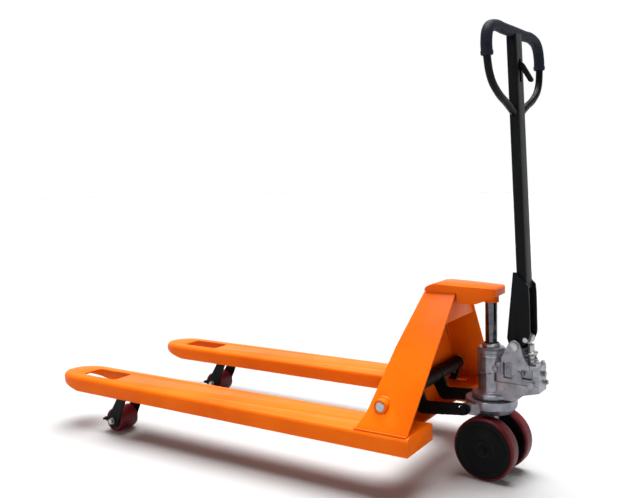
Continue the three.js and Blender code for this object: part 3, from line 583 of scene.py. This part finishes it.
def steer_axle_ends():
    """Cup washer and nut at each end of the steering axle."""
    metal = []
    for side, sign in SIDES:
        wheel = Vector(JOINTS[f"steer_wheel_{side}"]["pos_m"])
        out = CROSS * sign
        cup = [
            (15.1, 22.1), (16.6, 22.1), (16.6, 25.3, 1), (10.2, 25.3), (10.2, 24.1), (15.1, 24.1),
        ]
        metal.append(lathe(cup, wheel, out, 0.8, 48))
        metal.append(hexagon(21, 6, wheel + out * AXLE_NUT_FACE * MM, out))
        metal.append(disc(6.5, 3.0, wheel + out * AXLE_TIP_FACE * MM, out, 0.8))
    piece("steer_axle_nuts", "steering", "black_iron", *metal)


def load_roller(side):
    """A grooved polyurethane roller, and a bolt head at each end of its axle."""
    body = f"load_roller_{side}"
    centre = Vector(JOINTS[body]["pos_m"])
    roller = [
        (15, -36.5), (24, -36.5, 1), (25.5, -34.5, 1), (30, -34.5, 1), (31.5, -37, 1),
        (37, -37, 1), (40, -33.5, 1), (40.2, 0), (40, 33.5, 1), (37, 37, 1), (31.5, 37, 1),
        (30, 34.5, 1), (25.5, 34.5, 1), (24, 36.5, 1), (15, 36.5),
    ]
    made = piece(
        f"roller_{side}", body, "red_polyurethane", lathe(roller, centre, ACROSS, 2, 72),
    )
    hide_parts(body)
    bracket = f"roller_bracket_{side}"
    ends = []
    for face in (-1, 1):
        ends += bolt(17, centre + ACROSS * face * ROLLER_BOLT_FACE * MM, ACROSS * face)
    piece(f"roller_bolts_{side}", bracket, "bright_steel", *ends)


for wheel_side, _ in SIDES:
    steering_wheel(wheel_side)
    load_roller(wheel_side)
steer_axle_ends()

# ---------- ram, gland and pump details ----------

PUMP_TOP = 334.6                  # height of the screws' seats
PUMP_SIDE = 34.4                  # from the pump's middle plane to the plugs' seats
PUMP_BACK = 149.4                 # behind the steering axis
SPRING_LOW = 306
SPRING_HIGH = 362
SPRING_RADIUS = 15.8
SPRING_WIRE = 1.6
SPRING_TURNS = 5


def ram():
    """The polished rod that carries the fork frame."""
    foot = Vector((STEER.x, STEER.y, low("piston_rod").z))
    length = (high("piston_rod").z - foot.z) / MM
    rod = [(0, 0), (15, 0), (17, 3), (17, length - 2), (15, length), (0, length)]
    made = piece(
        "ram", "fork_frame", "chrome_rod",
        lathe(rod, foot, UP, segments=64, closed=False),
    )
    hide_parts("piston_rod")


def gland():
    """Turned cap, nut and lip seal round the ram."""
    base = steered(0, 0, 0)
    cap = [
        (17.3, 351.3), (42.2, 351.3, 1), (42.2, 356, 1), (40.8, 357.5, 1), (40.8, 365, 1),
        (36.5, 371, 1), (17.3, 371),
    ]
    made = piece("cap", "steering", "casting", lathe(cap, base, UP, 1.2, 72))
    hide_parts("cylinder_cap")
    bead = [(40.2, 346, 1), (42.4, 347, 1), (42.4, 350.6, 1), (40.2, 350.9, 1)]
    piece("cap_rim", "steering", "bright_steel", lathe(bead, base, UP, 0.8, 72))
    nut = [
        (17.3, 371.3), (26, 371.3, 1), (26, 379, 1), (23.5, 382, 1), (21.6, 382), (21.6, 376.2),
        (17.3, 376.2),
    ]
    made = piece("gland", "steering", "bright_steel", lathe(nut, base, UP, 1.0, 64))
    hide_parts("gland_nut")
    lip = [(17.3, 376.4), (21.3, 376.4), (21.3, 382, 1), (19.2, 384, 1), (17.4, 383.4, 1)]
    made = piece("wiper", "steering", "grip_rubber", lathe(lip, base, UP, 0.8, 64))
    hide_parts("dust_seal")


def pump_details():
    """Screws, plugs and bosses on the pump casting."""
    metal = []
    for x, y in ((60, -22), (60, 22), (142, -24), (142, 24)):
        metal += bolt(10, steered(x, y, PUMP_TOP), UP)
    metal += bolt(14, steered(PUMP_BACK, 0, 312), ALONG)
    metal += bolt(12, steered(PUMP_BACK, 18, 284), ALONG)
    piece("pump_screws", "steering", "bright_steel", *metal)
    plugs = bolt(14, steered(28, -PUMP_SIDE, 316), -CROSS)
    plugs += bolt(17, steered(96, -PUMP_SIDE, 311), -CROSS)
    plugs += bolt(17, steered(132, -PUMP_SIDE, 286), -CROSS)
    piece("pump_plugs", "steering", "casting", *plugs)
    bosses = [
        disc(12, 6, steered(96, -29, 311), -CROSS, 1.5),
        disc(12, 8, steered(132, -27, 286), -CROSS, 1.5),
        disc(11, 4, steered(147, 0, 312), ALONG, 1.2),
    ]
    piece("pump_bosses", "steering", "casting", *bosses)


def plunger_top():
    """The spring's cap with its tappet."""
    cap_low = low("plunger_cap")
    cap_high = high("plunger_cap")
    centre = Vector(((cap_low.x + cap_high.x) / 2, (cap_low.y + cap_high.y) / 2, cap_low.z))
    height = (cap_high.z - cap_low.z) / MM
    profile = [
        (0, 0), (18.4, 0, 1), (19, 1.2, 1), (19, 4.8, 1), (17.6, 6, 1), (9, 6, 1),
        (9, height - 2.4, 1), (6.4, height, 1), (0, height),
    ]
    hat = lathe(profile, centre, UP, 1, 48, False)
    made = piece("plunger_hat", "plunger", "bright_steel", hat)
    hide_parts("plunger_cap")


def plunger_spring():
    """A round-wire spring below the plunger's cap, riding on the steering body."""
    centre = middle("plunger_spring")
    steps = 16
    count = SPRING_TURNS * steps
    points = []
    for i in range(count + 1):
        angle = 2 * math.pi * i / steps
        height = (SPRING_LOW + (SPRING_HIGH - SPRING_LOW) * i / count) * MM
        across = Vector((math.cos(angle), math.sin(angle), 0)) * SPRING_RADIUS * MM
        points.append(Vector((centre.x, centre.y, height)) + across)
    wire = curved(points, SPRING_WIRE, 4, smooth=False)
    made = piece("spring", "steering", "bright_steel", wire)
    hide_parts("plunger_spring")
    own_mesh(made)


ram()
gland()
pump_details()
plunger_top()
plunger_spring()

# ---------- handle ----------

LOOP_POINTS = (                   # half of the loop's centre line, across and up the column
    (12, 415), (69, 442), (130, 468), (172, 502), (189, 550), (190, 590), (176, 624),
    (138, 639), (70, 640),
)
GRIP_FOOT = (189.4, 562)          # lower end of the grip, on the same line
LOOP_RADIUS = 10
GRIP_RADIUS = 15
CHEEK_FACE = 30.7                 # from the handle's middle plane to the roller pin's heads
ROLLER_PIN = (111, 406.3)         # behind the steering axis, and height
PIVOT = (83, 387)
PIVOT_NUT_FACE = 41.6
LEVER_PIN = (4, 553)              # across and up the column
LEVER_PIN_FACE = 24.4


def loop_line():
    """The near and far halves of the loop's centre line."""
    half = [on_column(0, -y, z) for y, z in LOOP_POINTS]
    rest = [on_column(0, y, z) for y, z in reversed(LOOP_POINTS)]
    return half, rest


def handle_loop():
    half, rest = loop_line()
    made = piece("loop", "handle", "black_paint", curved(half + rest, LOOP_RADIUS, 6))
    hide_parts("handle_loop")


def handle_grip():
    """A moulded sleeve round the upper part of the loop, with a collar at each end."""
    half, rest = loop_line()
    ends = [on_column(0, sign * GRIP_FOOT[0], GRIP_FOOT[1]) for sign in (-1, 1)]
    upper = [ends[0]] + half[5:] + rest[:-5] + [ends[1]]
    made = piece("grip", "handle", "grip_rubber", curved(upper, GRIP_RADIUS, 8))
    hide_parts("handle_grip")
    collars = []
    for end, below in zip(ends, (half[4], rest[-5])):
        direction = (below - end).normalized()
        profile = [(10.2, -6), (16.2, -6, 1), (16.2, 3, 1), (14, 6, 1), (10.2, 6, 1)]
        collars.append(lathe(profile, end, direction, 1.2, 48))
    piece("grip_collars", "handle", "grip_rubber", *collars)


def handle_fixings():
    """Heads of the roller pin, and the nut on the handle's pivot pin."""
    heads = []
    for sign in (-1, 1):
        at = steered(ROLLER_PIN[0], sign * CHEEK_FACE, ROLLER_PIN[1])
        heads.append(disc(7, 1.9, at, CROSS * sign, 0.6))
    piece("handle_bolts", "handle", "bright_steel", *heads)
    nut = hexagon(19, 8, steered(PIVOT[0], PIVOT_NUT_FACE, PIVOT[1]), CROSS)
    piece("pivot_nut", "steering", "bright_steel", nut)


def lever_details():
    """Heads of the release lever's pin."""
    heads = []
    for sign in (-1, 1):
        at = on_column(LEVER_PIN[0], sign * LEVER_PIN_FACE, LEVER_PIN[1])
        heads.append(disc(4.6, 1.6, at, CROSS * sign, 0.5))
    piece("lever_pin_heads", "handle", "black_iron", *heads)


handle_loop()
handle_grip()
handle_fixings()
lever_details()

# ---------- welds and bright shaft ends on the fork frame ----------

SIDE_SLOPE = 0.817                # the side plates lean in by this much per unit of height
SIDE_FOOT_Y = 334.4               # their outer face at fork top height
FORK_TOP = 185
SEAM_FOOT = 186.5                 # heights of the weld beads
SEAM_TOP = 524.5
PLATE_DEPTH = 9                   # across a leaning side plate, measured level
BOSS_Y = 273
SHAFT_END_Y = 297.2


def side_y(z):
    """How far out a side plate's outer face is at height z."""
    return SIDE_FOOT_Y - SIDE_SLOPE * (z - FORK_TOP)


def frame_welds():
    """Beads at the foot, top and inner corner of each side plate, and round each boss."""
    beads = []
    shaft = middle("rocker_shaft")
    for _, sign in SIDES:
        foot = sign * (SIDE_FOOT_Y + 0.4)
        beads.append(weld(heel(-163, foot, SEAM_FOOT), heel(-7, foot, SEAM_FOOT), 2.6))
        inner = sign * (SIDE_FOOT_Y - 9.1)
        beads.append(weld(heel(-130, inner, SEAM_FOOT), heel(-12, inner, SEAM_FOOT), 3.2))
        top = sign * (side_y(524) + 0.5)
        beads.append(weld(heel(-72, top, SEAM_TOP), heel(15, top, SEAM_TOP), 1.8))
        low_y = sign * (side_y(250) - PLATE_DEPTH)
        high_y = sign * (side_y(500) - PLATE_DEPTH)
        beads.append(weld(heel(-124, low_y, 250), heel(-78, high_y, 500), 3))
        boss = Vector((shaft.x, sign * BOSS_Y * MM, shaft.z))
        ring = [(19.6, -2, 1), (25, -2, 1), (21.5, 4.5, 1), (19.6, 5, 1)]
        beads.append(lathe(ring, boss, ACROSS * sign, 1.5, 48))
    piece("frame_welds", "fork_frame", "orange_paint", *beads)


def shaft_ends():
    """A dished cap on each end of the rocker shaft."""
    metal = []
    shaft = middle("rocker_shaft")
    profile = [(4, 0), (13.4, 0), (13.4, 2.4, 1), (4, 1.2, 1)]
    for _, sign in SIDES:
        end = Vector((shaft.x, sign * SHAFT_END_Y * MM, shaft.z))
        metal.append(lathe(profile, end, ACROSS * sign, 1.0, 40))
    piece("shaft_end_caps", "rocker", "bright_steel", *metal)


frame_welds()
shaft_ends()

# ---------- floor, lights and camera ----------

FLOOR_REACH = 30                  # metres each way
CEILING_DIRECTION = (0.10, -0.20, -1)
CEILING_STRENGTH = 7.6
CEILING_SPREAD = 50               # degrees
KEY_PLACE = (-0.9, -3.6, 2.2)
KEY_TARGET = (0.3, 0, 0.3)
KEY_SIZE = (1.6, 1.2)
KEY_POWER = 8
HORIZON_TOP = 0.26                # the surround is white below this, and dim from the next up
DIM_FROM = 0.42
DIM_LEVEL = 0.1
CAMERA_PLACE = (1.3936, -2.0324, 0.8650)
CAMERA_YAW = 32.66                # degrees
CAMERA_PITCH = 4.38
CAMERA_ROLL = -1.21
CAMERA_LENS = 42.92               # millimetres, on a 36 mm sensor
CAMERA_SHIFT = (-0.0095, -0.0243)


def floor():
    """A wide pale floor."""
    shader = Shader("floor_pale")
    tone = shader.steps(shader.noise(2.0, 3), [(0.3, grey(0.41)), (0.7, grey(0.43))])
    rough = shader.ranged(shader.noise(6.0, 3), 0.55, 0.65)
    flat = shader.bump(shader.noise(60.0, 2), 0.02, 0.0005)
    material = shader.finish(tone, rough, flat)
    mesh = bpy.data.meshes.new("floor")
    reach = FLOOR_REACH
    corners = [(-reach, -reach, 0), (reach, -reach, 0), (reach, reach, 0), (-reach, reach, 0)]
    mesh.from_pydata(corners, [], [(0, 1, 2, 3)])
    mesh.materials.append(material)
    made = bpy.data.objects.new("floor", mesh)
    bpy.context.scene.collection.objects.link(made)


def softbox(name, place, target, size, power):
    """A rectangular area light that faces target."""
    lamp = bpy.data.lights.new(name, "AREA")
    lamp.shape = "RECTANGLE"
    lamp.size = size[0]
    lamp.size_y = size[1]
    lamp.energy = power
    holder = bpy.data.objects.new(name, lamp)
    holder.location = place
    holder.rotation_euler = (Vector(target) - Vector(place)).to_track_quat("-Z", "Y").to_euler()
    bpy.context.scene.collection.objects.link(holder)


def ceiling(direction, strength, spread):
    """Even overhead light, as from a wide lit ceiling."""
    lamp = bpy.data.lights.new("ceiling", "SUN")
    lamp.energy = strength
    lamp.angle = math.radians(spread)
    holder = bpy.data.objects.new("ceiling", lamp)
    holder.rotation_euler = Vector(direction).to_track_quat("-Z", "Y").to_euler()
    bpy.context.scene.collection.objects.link(holder)


def sky():
    """White studio surround: bright near the horizon, dim overhead."""
    world = bpy.data.worlds.new("studio")
    world.use_nodes = True
    tree = world.node_tree
    backdrop = tree.nodes["Background"]
    place = tree.nodes.new("ShaderNodeTexCoord")
    split = tree.nodes.new("ShaderNodeSeparateXYZ")
    ramp = tree.nodes.new("ShaderNodeValToRGB")
    tree.links.new(place.outputs["Generated"], split.inputs["Vector"])
    tree.links.new(split.outputs["Z"], ramp.inputs["Fac"])
    tree.links.new(ramp.outputs["Color"], backdrop.inputs["Color"])
    ramp.color_ramp.elements[0].position = HORIZON_TOP
    ramp.color_ramp.elements[0].color = (1, 1, 1, 1)
    ramp.color_ramp.elements[1].position = DIM_FROM
    ramp.color_ramp.elements[1].color = (*grey(DIM_LEVEL), 1)
    backdrop.inputs["Strength"].default_value = 1.0
    bpy.context.scene.world = world


def studio():
    sky()
    ceiling(CEILING_DIRECTION, CEILING_STRENGTH, CEILING_SPREAD)
    softbox("key", KEY_PLACE, KEY_TARGET, KEY_SIZE, KEY_POWER)


def camera():
    """The camera, turned by yaw from +Y, then pitched down and rolled."""
    place = Vector(CAMERA_PLACE)
    yaw = math.radians(CAMERA_YAW)
    pitch = math.radians(CAMERA_PITCH)
    roll = math.radians(CAMERA_ROLL)
    ahead = Vector((
        -math.sin(yaw) * math.cos(pitch), math.cos(yaw) * math.cos(pitch), -math.sin(pitch),
    ))
    right = Vector((math.cos(yaw), math.sin(yaw), 0))
    up = right.cross(ahead)
    rolled_right = right * math.cos(roll) + up * math.sin(roll)
    rolled_up = up * math.cos(roll) - right * math.sin(roll)
    turn = Matrix((rolled_right, rolled_up, -ahead)).transposed().to_4x4()
    lens = bpy.data.cameras.new("camera")
    lens.lens = CAMERA_LENS
    lens.sensor_width = 36
    lens.shift_x = CAMERA_SHIFT[0]
    lens.shift_y = CAMERA_SHIFT[1]
    lens.clip_end = 100
    holder = bpy.data.objects.new("camera", lens)
    holder.matrix_world = Matrix.Translation(place) @ turn
    bpy.context.scene.collection.objects.link(holder)
    bpy.context.scene.camera = holder


floor()
studio()
camera()
bpy.context.scene.view_settings.view_transform = "Standard"
